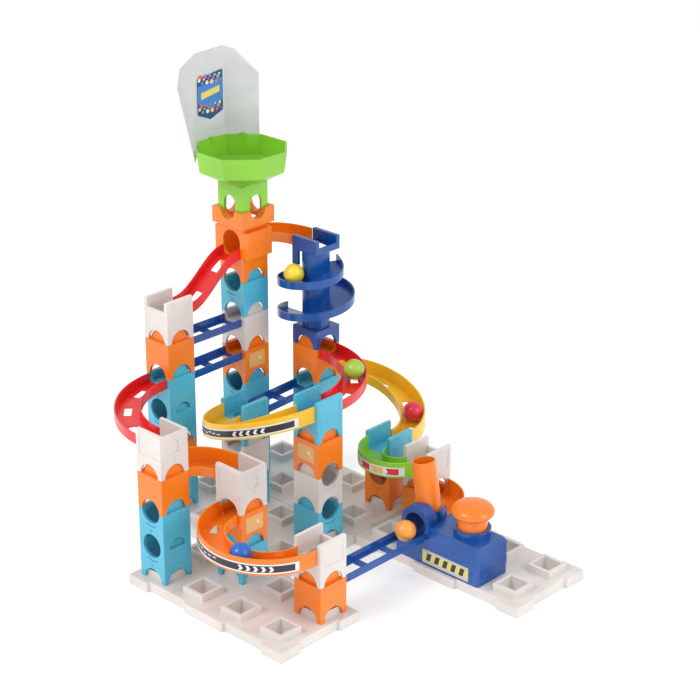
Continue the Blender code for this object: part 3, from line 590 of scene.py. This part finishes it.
def tracks():
    long_r, short_r = 2 * PITCH - HALF, PITCH - HALF
    slide_slots = ((0.25, 20), (0.72, 20))
    quarter_slots = ((0.2, 24, 0), (0.5, 24, 0), (0.8, 24, 0))
    u_slots = ((0.14, 20, 0), (0.38, 20, 0), (0.62, 20, 0), (0.86, 20, 0))
    straight_track("slide_red", (-140, 257, SPLIT_OUT), (-140, 163, land(5)), "red", 28, slide_slots)
    for name, centre, first, last in (("front", (-23, 117), 180, 270), ("back", (-47, 233), 90, 0)):
        arc_track("curve_red_" + name, centre, long_r, first, last, leave(4), land(3), "red", 9,
                  slots=quarter_slots)
    arc_track("bend_orange_top", (-93, 303), short_r, 180, 90, SPLIT_SIDE_OUT, HEAD_FLOOR + 0.5,
              "orange", 6, 15.0)
    arc_track("bend_orange_front", (47, 23), short_r, 180, 90, leave(3), land(2), "orange", 6, BEND_RAIL)
    arc_track("bend_orange_right", (163, 303), short_r, 90, 0, leave(1), leave(1) - 0.5,
              "orange", 6, BEND_RAIL)
    arc_track("turn_orange", *ORANGE_TURN, "orange", 12, TALL_RAIL, u_slots)
    arc_track("turn_yellow_front", *YELLOW_FRONT_TURN, "yellow", 12, TALL_RAIL, u_slots)
    arc_track("turn_yellow_back", *YELLOW_BACK_TURN, "yellow", 12, TALL_RAIL, u_slots)
    arc_track("turn_green", *GREEN_TURN, "green", 10, TALL_RAIL)
    short_slots = ((0.26, 32), (0.74, 32))
    long_slots = ((0.18, 38), (0.5, 38), (0.82, 38))
    for name, start, end, slots in (
            ("bridge_upper", (-140, 163, leave(5)), (-140, 257, leave(5) - 1), short_slots),
            ("bridge_lower", (-140, 257, leave(4)), (-140, 163, leave(4) - 1), short_slots),
            ("bridge_middle", (-70, 327, leave(3)), (-70, 233, land(2)), short_slots),
            ("bridge_launcher", (210, 93, leave(1)), (210, HOOD_Y, leave(1) - 0.5), long_slots)):
        straight_track(name, start, end, "blue", 1, slots, LOW_RAIL, LOW_SLOT)


SPIRAL_CELL = (-1, 5)
SPIRAL_OUT, SPIRAL_RIM, SPIRAL_SKIN = 54.0, 11.0, 2.0
SPIRAL_TOP, SPIRAL_PITCH = 323.0, 46.5
SPIRAL_START = 133.0                        # bearing where the chute would be at its top height
SPIRAL_FROM, SPIRAL_TO = 63.0, 670.0        # degrees turned at the two ends of the chute
SPIRAL_NARROW, SPIRAL_WIDENS = 33.0, 110.0  # outer radius at its start, degrees taken to widen
COLUMN_R = 19.3
HEAD_FLOOR, HEAD_TOP = 343.5, 359.5


def corkscrew():
    """Spiral chute around a column, with its own catch channel on top and a block foot."""
    x, y = SPIRAL_CELL[0] * PITCH, SPIRAL_CELL[1] * PITCH
    name = "corkscrew"
    thing = square(x, y, HALF, 200 + GAP, 227, "blue", name)
    combine(thing, square(x, y, INNER, 195, 218))
    foot_arches(thing, x, y, 200)
    combine(thing, rod((x, y, 222), (x, y, HEAD_FLOOR - 2), COLUMN_R, 64), "UNION")
    loops = []
    count = 140
    for k in range(count + 1):
        turned = SPIRAL_FROM + (SPIRAL_TO - SPIRAL_FROM) * k / count
        widened = ease(min(1.0, (turned - SPIRAL_FROM) / SPIRAL_WIDENS))
        outside = SPIRAL_NARROW + (SPIRAL_OUT - SPIRAL_NARROW) * widened
        shape = [(COLUMN_R - 2, 0), (outside, 0), (outside, SPIRAL_RIM), (outside - SPIRAL_SKIN, SPIRAL_RIM),
                 (outside - SPIRAL_SKIN, SPIRAL_SKIN), (COLUMN_R - 2, SPIRAL_SKIN)]
        a = math.radians(SPIRAL_START - turned)
        out = Vector((math.cos(a), math.sin(a), 0))
        centre = Vector((x, y, SPIRAL_TOP - SPIRAL_PITCH * turned / 360))
        loops.append([centre + out * u + Vector((0, 0, v)) for u, v in shape])
    combine(thing, loft("cut", loops), "UNION")
    head = square(x, y, HALF, HEAD_FLOOR - 4, HEAD_TOP)
    for x0, z0, x1 in ((x - HALF - 5, HEAD_FLOOR, x + INNER + 1),
                       (x + INNER - 2, HEAD_FLOOR + 5, x + HALF + 5)):
        combine(head, box((x0, y - CHANNEL / 2, z0), (x1, y + CHANNEL / 2, HEAD_TOP + 5)))
    combine(thing, head, "UNION")
    combine(thing, box((x - HALF, y - HALF, 318), (x - 12, y - INNER, HEAD_FLOOR)), "UNION")
    combine(thing, box((x - HALF, y - HALF, 318), (x - INNER, y - 12, HEAD_FLOOR)), "UNION")
    reach = BALL_R + BALL_LIFT
    combine(thing, box((x - reach, y - 10, 326), (x + reach, y + HALF + 9, HEAD_FLOOR - 4.5)))
    combine(thing, box((x - reach, y - 10, 330), (x + reach, y + INNER, HEAD_FLOOR + 2)))


SPLIT_Z = 300.0
SPLIT_OUT, SPLIT_SIDE_OUT = 336.0, 348.0     # rolling heights of the slide and of the bend
COLLAR = 30.0
STEM_HALF = 25.0


def splitter():
    """Two-level piece under the hopper that sends balls out of two opposite sides."""
    x, y = -2 * PITCH, 4 * PITCH
    thing = square(x, y, HALF, SPLIT_Z + GAP, 390, "orange", "splitter")
    combine(thing, box((x - COLLAR - 2, y - HALF, 336), (x + COLLAR + 2, y + HALF, 374)), "UNION")
    combine(thing, square(x, y, COLLAR, 380, 403), "UNION")
    combine(thing, square(x, y, INNER, SPLIT_Z - 5, SPLIT_OUT - 6))
    combine(thing, square(x, y, INNER, SPLIT_OUT - 3, 410))
    combine(thing, square(x, y, STEM_HALF + 0.4, 400, 410))
    foot_arches(thing, x, y, SPLIT_Z)
    for side, low in (("-y", SPLIT_OUT), ("+y", SPLIT_SIDE_OUT)):
        for z in (low + BALL_R, low + BALL_R + 6):
            drill(thing, (x, y, z), side)
    combine(thing, box((x + COLLAR + 1, y - 13, 343), (x + COLLAR + 9, y + 13, 368)))
    combine(thing, box((x + COLLAR, y - 10, 349), (x + COLLAR + 1.6, y + 10, 363)), "UNION")
    combine(thing, moon(x, y, 353, SIDES["+x"], 8.0, COLLAR + 0.9, COLLAR + 9, 0.0))
    for along in (Vector((1, 0, 0)), Vector((0, 1, 0))):
        centre = Vector((x, y, 403))
        combine(thing, rod(centre - along * 40, centre + along * 40, 13.5, 48))
    return thing


EIGHTH = math.radians(45)
BOWL_R = 60.5           # across-flats radius
BOWL_WALL = 2.5
BOWL_TAPER = 4.0
STEM_Z, STEM_TOP, BOWL_Z, RIM_Z = 400.3, 438.0, 456.0, 485.0


def octagon(x, y, flat, z):
    """Eight corners around (x, y); flat is half the width across flats."""
    radius = flat / math.cos(EIGHTH / 2)
    bearings = [EIGHTH / 2 + EIGHTH * k for k in range(8)]
    return [(x + radius * math.cos(a), y + radius * math.sin(a), z) for a in bearings]


def cut_square(x, y, half, z, chamfer=2.5):
    c = half - chamfer
    plan = [(half, c), (c, half), (-c, half), (-half, c), (-half, -c), (-c, -half), (c, -half), (half, -c)]
    return [(x + u, y + v, z) for u, v in plan]


def hopper():
    """Eight-sided bowl on a square stem."""
    x, y = -2 * PITCH, 4 * PITCH
    inside = STEM_HALF - WALL
    loops = [cut_square(x, y, STEM_HALF, STEM_Z), cut_square(x, y, STEM_HALF, STEM_TOP),
             octagon(x, y, BOWL_R - BOWL_TAPER, BOWL_Z), octagon(x, y, BOWL_R, RIM_Z),
             octagon(x, y, BOWL_R - BOWL_WALL, RIM_Z),
             octagon(x, y, BOWL_R - BOWL_WALL - BOWL_TAPER, BOWL_Z + 1),
             cut_square(x, y, inside, STEM_TOP + 1), cut_square(x, y, inside, STEM_Z)]
    thing = loft("hopper", loops, "green", closed=True)
    for low, high in (((x - HALF - 9, y - 11, 395), (x + HALF + 9, y + 11, 412)),
                      ((x - 11, y - HALF - 9, 395), (x + 11, y + HALF + 9, 412))):
        combine(thing, box(low, high))
    for along in (Vector((1, 0, 0)), Vector((0, 1, 0))):
        centre = Vector((x, y, 412))
        combine(thing, rod(centre - along * 40, centre + along * 40, 11, 48))


BOARD_T = 1.6
BOARD_FLAT = BOWL_R + 0.6


def backboard():
    """Folded clear screen on three sides of the bowl; its front panel leans outwards."""
    x, y = -2 * PITCH, 4 * PITCH
    lean = Vector((-1, -1, 0)).normalized()

    def corner(angle, thick):
        radius = (BOARD_FLAT + thick) / math.cos(EIGHTH / 2)
        a = math.radians(angle)
        return Vector((x + radius * math.cos(a), y + radius * math.sin(a), 0))

    def column(thick, index):
        if index == 0:
            spot = corner(247.5, thick) + (corner(202.5, thick) - corner(247.5, thick)) * 0.06
            return [(spot, 470.0), (spot + lean * 21, 572.0), (spot + lean * 17, 598.0)]
        if index == 1:
            return [(corner(202.5, thick), z) for z in (470.0, 580.0, 606.0)]
        if index == 2:
            return [(corner(157.5, thick), z) for z in (470.0, 580.0, 609.0)]
        to = corner(112.5, thick) - corner(157.5, thick)
        if index == 3:
            return [(corner(157.5, thick) + to * 0.30, z) for z in (470.0, 580.0, 604.0)]
        return [(corner(157.5, thick) + to * 0.94, z) for z in (470.0, 563.0, 570.0)]

    work = bmesh.new()
    front = [[work.verts.new(spot + Vector((0, 0, z))) for spot, z in column(0.0, c)] for c in range(5)]
    back = [[work.verts.new(spot + Vector((0, 0, z))) for spot, z in column(BOARD_T, c)] for c in range(5)]
    for skin in (front, back):
        for near, far in zip(skin, skin[1:]):
            for r in range(len(near) - 1):
                work.faces.new((near[r], near[r + 1], far[r + 1], far[r]))
    rim = [(c, 0) for c in range(5)] + [(4, 1), (4, 2)] + [(c, 2) for c in (3, 2, 1, 0)] + [(0, 1)]
    for (c0, r0), (c1, r1) in zip(rim, rim[1:] + rim[:1]):
        work.faces.new((front[c0][r0], front[c1][r1], back[c1][r1], back[c0][r0]))
    finish(work, "backboard", "clear")


LAUNCH_X0, LAUNCH_XN, LAUNCH_X1 = 176.0, 228.0, 316.0
LAUNCH_Y0, LAUNCH_Y1, LAUNCH_YN = 250.0, 310.0, 302.0
LAUNCH_Z0, LAUNCH_Z1 = 0.3, 57.0
LAUNCH_Y = 280.0
HOOD_Y = 248.0
INLET_Z = 54.0
BARREL_X, BARREL_PIVOT_Z = 209.0, 46.0
BARREL_TILT = math.radians(10.0)
BUTTON_X = 280.0


def barrel_axis(z_from_pivot):
    """Point on the barrel's centre line, measured along the barrel from its pivot."""
    lean = Vector((-math.sin(BARREL_TILT), 0, math.cos(BARREL_TILT)))
    return Vector((BARREL_X, LAUNCH_Y, BARREL_PIVOT_Z)) + lean * z_from_pivot


def launcher():
    """Housing with two ball inlets, tilting barrel and palm button."""
    plan = [(LAUNCH_X0, LAUNCH_Y0), (LAUNCH_X1 - 3, LAUNCH_Y0), (LAUNCH_X1, LAUNCH_Y0 + 3),
            (LAUNCH_X1, LAUNCH_Y1 - 3), (LAUNCH_X1 - 3, LAUNCH_Y1), (LAUNCH_XN, LAUNCH_Y1),
            (LAUNCH_XN, LAUNCH_YN), (LAUNCH_X0, LAUNCH_YN)]
    body = prism("launcher_body", [(u, v, LAUNCH_Z0) for u, v in plan], (0, 0, LAUNCH_Z1 - LAUNCH_Z0), "blue")
    slope = [(LAUNCH_X1 + 5, LAUNCH_Y1 - 11, LAUNCH_Z1), (LAUNCH_X1 + 5, LAUNCH_Y1 + 5, LAUNCH_Z1 - 17),
             (LAUNCH_X1 + 5, LAUNCH_Y1 + 5, LAUNCH_Z1 + 5), (LAUNCH_X1 + 5, LAUNCH_Y1 - 11, LAUNCH_Z1 + 5)]
    combine(body, prism("cut", slope, (LAUNCH_XN + 8 - LAUNCH_X1 - 5, 0, 0)))
    nose = [(LAUNCH_X0 - 5, LAUNCH_Y0 - 5, 12), (LAUNCH_X0 + 10, LAUNCH_Y0 - 5, LAUNCH_Z1),
            (LAUNCH_X0 + 10, LAUNCH_Y0 - 5, LAUNCH_Z1 + 5), (LAUNCH_X0 - 5, LAUNCH_Y0 - 5, LAUNCH_Z1 + 5)]
    combine(body, prism("cut", nose, (0, LAUNCH_YN - LAUNCH_Y0 + 10, 0)))
    combine(body, rod((210, HOOD_Y, 57), (210, 266, 57), 23.5, 64), "UNION")
    combine(body, rod(barrel_axis(2), barrel_axis(20), 23, 64), "UNION")
    combine(body, rod((BUTTON_X, LAUNCH_Y, 50), (BUTTON_X, LAUNCH_Y, 66), 24.5, 72), "UNION")
    combine(body, rod((210, HOOD_Y - 6, INLET_Z), (210, 315, INLET_Z), 17, 56))
    combine(body, rod(barrel_axis(-8), barrel_axis(60), 19, 64))
    combine(body, rod((BUTTON_X, LAUNCH_Y, 12), (BUTTON_X, LAUNCH_Y, 70), 20.6, 72))
    for cell_x in (210, 280):
        combine(body, square(cell_x, LAUNCH_Y, 19.2, -5, 10.8))
    inner, outer = 14.8, 17.0
    tube = rod(barrel_axis(14), barrel_axis(86), outer, 72, 16.0, "orange", "launcher_barrel")
    combine(tube, rod(barrel_axis(5), barrel_axis(90), inner, 72, inner - 0.6))
    combine(tube, rod((BARREL_X, 240, INLET_Z - 1), (BARREL_X, 320, INLET_Z - 1), 15.2, 56))
    profile = [(0, 100.5), (16, 99), (24.5, 95.5), (28.3, 90), (28, 86), (25, 83), (20.5, 81), (19.8, 76),
               (19.2, 34), (0, 34)]
    lathe(BUTTON_X, LAUNCH_Y, profile, 72, "orange", "launcher_button")


def ball(name, place):
    work = bmesh.new()
    bmesh.ops.create_uvsphere(work, u_segments=64, v_segments=40, radius=BALL_R,
                              matrix=Matrix.Translation(place))
    finish(work, name, name)


def arc_point(centre, radius, first, last, z0, z1, t, lift=BALL_LIFT):
    a = math.radians(first + (last - first) * t)
    length = abs(math.radians(last - first)) * radius
    slope = math.atan((z1 - z0) * 0.5 * math.pi * math.sin(math.pi * t) / length)
    z = z0 + (z1 - z0) * ease(t) + (BALL_R + lift) / math.cos(slope)
    return (centre[0] + radius * math.cos(a), centre[1] + radius * math.sin(a), z)


def balls():
    ball("ball_orange", (210, 229, leave(1) + BALL_R + BALL_LIFT))
    ball("ball_blue", arc_point(*ORANGE_TURN, 0.6))
    ball("ball_red", arc_point(*YELLOW_BACK_TURN, 0.76, RED_LIFT))
    ball("ball_green", arc_point(*RED_BACK_CURVE, 0.5))
    a = math.radians(SPIRAL_START - YELLOW_TURNED)
    r = SPIRAL_OUT - SPIRAL_SKIN - BALL_R - YELLOW_SIDE_GAP
    z = SPIRAL_TOP - SPIRAL_PITCH * YELLOW_TURNED / 360 + SPIRAL_SKIN + BALL_R + YELLOW_LIFT
    x, y = SPIRAL_CELL[0] * PITCH, SPIRAL_CELL[1] * PITCH
    ball("ball_yellow", (x + r * math.cos(a), y + r * math.sin(a), z))


TALL_BAND = (-0.5, 13.5)


def patch(name, corners, ink):
    """A thin printed shape on a flat or curved wall, given as a strip of (low, high) point pairs."""
    work = bmesh.new()
    rows = [(work.verts.new(Vector(low)), work.verts.new(Vector(high))) for low, high in corners]
    for (a, b), (c, d) in zip(rows, rows[1:]):
        work.faces.new((a, c, d, b))
    bmesh.ops.recalc_face_normals(work, faces=work.faces)
    mesh = bpy.data.meshes.new(name)
    work.to_mesh(mesh)
    work.free()
    thing = bpy.data.objects.new(name, mesh)
    bpy.context.scene.collection.objects.link(thing)
    mesh.materials.append(ink)
    solid = thing.modifiers.new("paper", "SOLIDIFY")
    solid.thickness = 0.12
    solid.offset = 0.0
    apply_modifiers(thing)
    PIECES.append(thing)
    thing["sticker"] = True
    return thing


def band_point(track, t, height, lift=0.25):
    """A point on the outer wall of a curved track, t along it and height above its floor."""
    (cx, cy), radius, first, last, z0, z1 = track
    a = math.radians(first + (last - first) * t)
    r = radius + TRACK_W / 2 + lift
    return Vector((cx + r * math.cos(a), cy + r * math.sin(a), z0 + (z1 - z0) * ease(t) + height))


def band(name, track, start, end, low, high, ink, lift=0.25, slant=0.0, steps=0):
    steps = steps or max(2, int(abs(end - start) * 60))
    corners = []
    for k in range(steps + 1):
        t = start + (end - start) * k / steps
        corners.append((band_point(track, t, low, lift), band_point(track, t + slant, high, lift)))
    patch(name, corners, ink)


def track_bands():
    white, black = printed("white", (0.85, 0.85, 0.85)), printed("black", (0.02, 0.02, 0.025))
    red, gold = printed("red", (0.70, 0.03, 0.03)), printed("gold", (0.85, 0.55, 0.12))
    low, high = TALL_BAND
    for name, track in (("orange", ORANGE_TURN), ("yellow", YELLOW_FRONT_TURN)):
        band("sticker_" + name, track, 0.10, 0.90, low + 1, high, white)
        band("sticker_" + name + "_dark", track, 0.12, 0.88, low + 3, high - 2, black, 0.4)
        for k in range(5):
            t = (0.62 if name == "orange" else 0.26) + 0.035 * k
            band(f"sticker_{name}_mark_{k}", track, t, t + 0.014, low + 4, high - 7.2, white, 0.55,
                 0.010, 2)
            band(f"sticker_{name}_tick_{k}", track, t + 0.010, t + 0.024, high - 7.4, high - 3, white,
                 0.55, -0.010, 2)
        for k in range(9):
            t = (0.20 if name == "orange" else 0.50) + 0.035 * k
            line = low + 6 + (k % 3)
            band(f"sticker_{name}_line_{k}", track, t, t + 0.022, line, line + 1.4, white, 0.55)
    band("sticker_green", GREEN_TURN, 0.10, 0.80, low + 1, high, white)
    for k in range(5):
        t = 0.13 + 0.13 * k
        band(f"sticker_green_block_{k}", GREEN_TURN, t, t + 0.10, low + 3, high - 2, gold if k % 2 else red, 0.4)
        band(f"sticker_green_low_{k}", GREEN_TURN, t + 0.10, t + 0.115, low + 3, high - 7, white, 0.55, 0.03, 2)
        band(f"sticker_green_up_{k}", GREEN_TURN, t + 0.13, t + 0.145, high - 7, high - 2, white, 0.55, -0.03, 2)


def flat_patch(name, origin, across, up, outline, ink):
    """A printed shape on a flat wall; outline pairs are (sideways, low, high)."""
    corners = [(origin + across * u + up * low, origin + across * u + up * high) for u, low, high in outline]
    patch(name, corners, ink)


def block_stickers():
    """Pale printed rectangles on three orange blocks, each with a small painted highlight: a pale streak
    standing for a glint of light.
    """
    up = Vector((0, 0, 1))
    # peach is the sticker's print; the second ink is a painted highlight, pale colour standing for a glint of
    # light
    peach, painted_highlight = printed("peach", (0.90, 0.50, 0.17), 0.25), printed("painted_highlight", (0.97, 0.86, 0.62), 0.25)
    for number, (cell, level, side) in enumerate((((1, 1), 1, "+x"), ((1, 3), 2, "-y"), ((-2, 4), 3, "+x"))):
        out = SIDES[side]
        across = Vector((-out.y, out.x, 0))
        centre = Vector((cell[0] * PITCH, cell[1] * PITCH, level * LEVEL + 32)) + out * (HALF + 0.15)
        flat_patch(f"sticker_block_{number}", centre, across, up, [(-15, -11, 11), (15, -11, 11)], peach)
        # painted highlight: a thin pale streak over each rectangle stands for a glint of light on the sticker
        flat_patch(f"sticker_spark_{number}", centre + out * 0.15, across, up,
                   [(3, 1, 2), (5, -1, 4.5), (8, -2, -0.5), (10, -4.5, -3)], painted_highlight)


def launcher_details():
    up, across, out = Vector((0, 0, 1)), Vector((1, 0, 0)), Vector((0, -1, 0))
    paper, gold = printed("grey", (0.55, 0.56, 0.60)), printed("hazard", (0.78, 0.68, 0.18))
    black = printed("black", (0.02, 0.02, 0.025))
    base = Vector((222, LAUNCH_Y0 - 0.15, 3))
    flat_patch("sticker_launcher", base, across, up, [(0, 0, 20), (78, 0, 20)], paper)
    flat_patch("sticker_launcher_band", base + out * 0.15, across, up, [(0, 4, 17), (78, 4, 17)], gold)
    for k in range(5):
        mark = [base + out * 0.3 + across * (6 + 14 * k + u) for u in (0, 7)]
        patch(f"sticker_launcher_mark_{k}", [(p + up * 5, p + across * 3 + up * 16) for p in mark], black)
    for k, (x, z) in enumerate(((307, 42), (304, 15))):
        ring = rod((x, LAUNCH_Y0 + 0.2, z), (x, LAUNCH_Y0 - 0.5, z), 3.4, 28, colour="blue",
                   name=f"screw_boss_{k}")
        combine(ring, rod((x, LAUNCH_Y0 - 2, z), (x, LAUNCH_Y0 - 0.1, z), 2.4, 28))
        ring["node"] = ""


def screen_sticker():
    """Shield-shaped label: a blue band between two rows of coloured dots, with no lettering."""
    out = Vector((-1, 0, 0))
    across = Vector((0, 1, 0))
    up = Vector((0, 0, 1))
    centre = Vector((-2 * PITCH, 4 * PITCH, 0)) + out * (BOARD_FLAT - 0.3)
    blue, navy = printed("label", (0.03, 0.22, 0.62)), printed("label_rim", (0.01, 0.05, 0.22))
    dot_colours = ((0.8, 0.78, 0.7), (0.75, 0.12, 0.1), (0.1, 0.45, 0.42), (0.85, 0.65, 0.15),
                   (0.35, 0.15, 0.45))
    inks = [printed(f"dot_{k}", colour) for k, colour in enumerate(dot_colours)]
    shield = [(-23.4, 522, 570), (-22.5, 520, 571), (-12, 516, 572), (0, 511, 574), (12, 516, 576),
              (22.5, 520, 577), (23.4, 522, 577)]
    flat_patch("label_rim", centre, across, up, shield, navy)
    flat_patch("label_band", centre - out * 0.2, across, up,
               [(u * 0.97, low + 15, high - 11) for u, low, high in shield], blue)
    flat_patch("label_sash", centre - out * 0.4, across, up, [(-17, 541, 550), (17, 547, 556)], inks[3])
    for k in range(30):
        u = -20 + 40 * (k % 15) / 14
        v = (528 if k < 15 else 568) + 5.0 * math.sin(2.1 * k)
        r = 2.3 + 0.9 * math.sin(1.7 * k)
        dot = [(u + r * math.cos(math.pi * s / 8), v - r * math.sin(math.pi * s / 8) - 0.01,
                v + r * math.sin(math.pi * s / 8) + 0.01) for s in range(9)]
        flat_patch(f"label_dot_{k}", centre - out * (0.4 + 0.1 * (k % 2)), across, up, dot, inks[k % 5])


def hopper_clips():
    """Small hooks on the bowl's rim that hold the screen."""
    x, y = -2 * PITCH, 4 * PITCH
    for k, angle in enumerate((135, 180, 225)):
        a = math.radians(angle)
        out = Vector((math.cos(a), math.sin(a), 0))
        side = Vector((-out.y, out.x, 0))
        middle = Vector((x, y, RIM_Z - 1)) + out * (BOWL_R - 4.2)
        outline = [middle + side * u + Vector((0, 0, v)) for u, v in ((-4, -8), (4, -8), (4, 3.5), (-4, 3.5))]
        clip = prism(f"hopper_clip_{k}", outline, out * 3.4, "green")
        clip["node"] = ""


BODY_OF = {"launcher_barrel": "barrel", "launcher_button": "button"}


def present(thing):
    """Moves a piece into the frame, rounds its edges, and ties it to its body and node."""
    node = thing.get("node", "")
    thing.data.transform(Matrix.Scale(MM, 4) @ Matrix.Translation(SHIFT))
    sticker = thing.get("sticker", False)
    if not sticker and not node.startswith("ball_"):
        edge = thing.modifiers.new("edge", "BEVEL")
        edge.width = EDGE.get(node, 0.0007)
        edge.segments = 3
        edge.limit_method = "ANGLE"
        edge.angle_limit = math.radians(40)
        even = thing.modifiers.new("even", "WEIGHTED_NORMAL")
        even.keep_sharp = False
    for face in thing.data.polygons:
        face.use_smooth = True
    if sticker:
        thing.data.shade_flat()
    body = BODY_OF.get(node, node if node.startswith("ball_") else "frame")
    if node:
        thing.name = "fine_" + node
        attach(thing, body)
        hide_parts(node)
    else:
        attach(thing, "frame")


TILE_EDGE = 0.0018      # rounding widths, in metres
EDGE = {"backboard": 0.0004, "hopper": 0.0006, "launcher_body": 0.0015,
        "tile_front": TILE_EDGE, "tile_middle": TILE_EDGE, "tile_back": TILE_EDGE, "tile_right": TILE_EDGE}

LENS, SENSOR = 98.01, 36.0
CAMERA_AT = Vector((1.56141, -1.62240, 1.25747))
AZIMUTH, ELEVATION, ROLL = math.radians(43.2347), math.radians(23.1984), math.radians(0.312)


def camera():
    made = bpy.data.cameras.new("camera")
    made.lens, made.sensor_width = LENS, SENSOR
    made.clip_end = 50
    view = bpy.data.objects.new("camera", made)
    bpy.context.scene.collection.objects.link(view)
    swing = Matrix.Rotation(AZIMUTH, 4, "Z") @ Matrix.Rotation(math.pi / 2 - ELEVATION, 4, "X")
    view.matrix_world = Matrix.Translation(CAMERA_AT) @ swing @ Matrix.Rotation(ROLL, 4, "Z")
    bpy.context.scene.camera = view


def lamp(name, place, target, size, power):
    made = bpy.data.lights.new(name, "AREA")
    made.shape, made.size, made.energy = "DISK", size, power
    thing = bpy.data.objects.new(name, made)
    thing.location = place
    thing.rotation_euler = (Vector(target) - Vector(place)).to_track_quat("-Z", "Y").to_euler()
    bpy.context.scene.collection.objects.link(thing)


def stage():
    bpy.ops.mesh.primitive_plane_add(size=12, location=(0, 0, -0.0005))
    floor = bpy.context.active_object
    floor.name = "floor"
    made, shader = shader_of("floor", 0.6)
    grain = noise(made.node_tree, 3.0)
    tone = ramp(made.node_tree, grain.outputs["Fac"], (0.90, 0.90, 0.90, 1), (0.92, 0.92, 0.92, 1))
    made.node_tree.links.new(tone.outputs["Color"], shader.inputs["Base Color"])
    shader.inputs["Emission Color"].default_value = (1, 1, 1, 1)
    shader.inputs["Emission Strength"].default_value = 0.2
    floor.data.materials.append(made)
    world = bpy.data.worlds.new("studio")
    bpy.context.scene.world = world
    world.use_nodes = True
    back = world.node_tree.nodes["Background"]
    back.inputs["Color"].default_value = (1, 1, 1, 1)
    back.inputs["Strength"].default_value = 0.82
    lamp("key", (-0.6, -2.4, 2.6), (0, 0, 0.25), 1.6, 40)
    lamp("fill", (2.6, 0.6, 1.6), (0, 0, 0.25), 2.0, 24)
    bpy.context.scene.view_settings.view_transform = "Standard"


def main():
    base_tiles()
    towers()
    tracks()
    corkscrew()
    splitter()
    hopper()
    backboard()
    launcher()
    balls()
    hopper_clips()
    launcher_details()
    track_bands()
    block_stickers()
    screen_sticker()
    for thing in PIECES:
        present(thing)
    camera()
    stage()


main()
